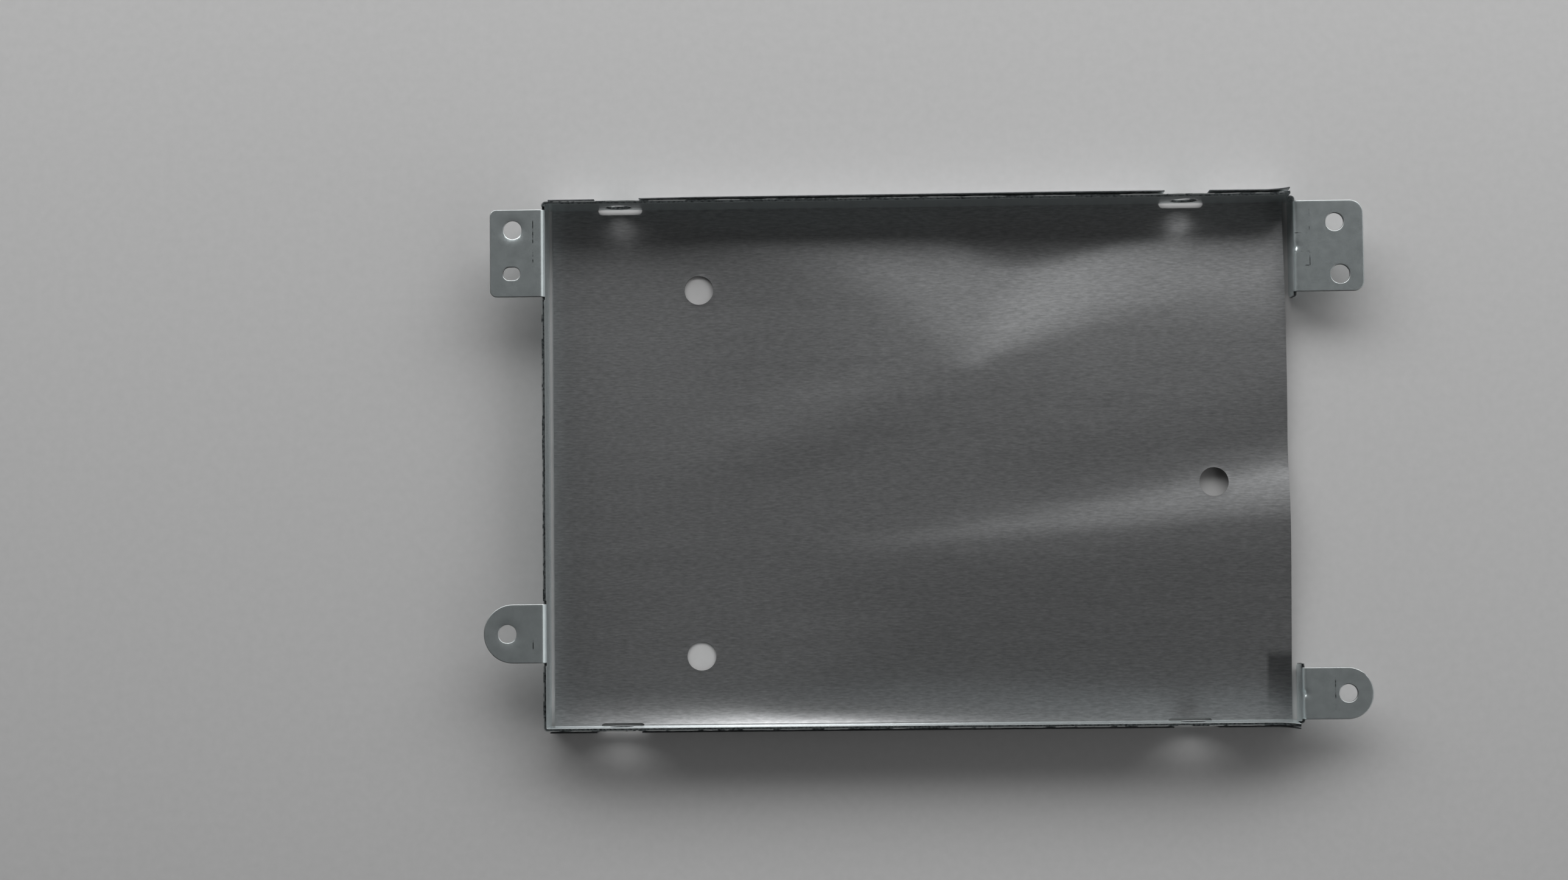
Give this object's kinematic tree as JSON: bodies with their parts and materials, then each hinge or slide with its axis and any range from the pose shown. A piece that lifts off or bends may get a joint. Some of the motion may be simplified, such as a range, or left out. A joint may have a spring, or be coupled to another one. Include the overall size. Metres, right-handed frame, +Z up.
{
  "type": "laptop hard drive bracket",
  "caption": "C-shaped bent sheet-steel bracket with outward screw tabs, on a thin folded aluminium shield, that holds a 2.5-inch drive in a laptop.",
  "frame": {"origin": "middle of the drive bay, in the plane of the shield's flat underside", "axes": "+X along the bay towards its open connector end, +Y towards the long wall beside the two rectangular tabs, +Z up out of the bay"},
  "size_m": [0.1185, 0.072, 0.007],
  "materials": {
    "zinc_steel": "matte electro-galvanised sheet",
    "brushed_aluminium": "finely brushed along the length, thin and slightly wavy"
  },
  "bodies": {
    "root": {"steel_frame": "zinc_steel", "bottom_shield": "brushed_aluminium"}
  },
  "joints": []
}
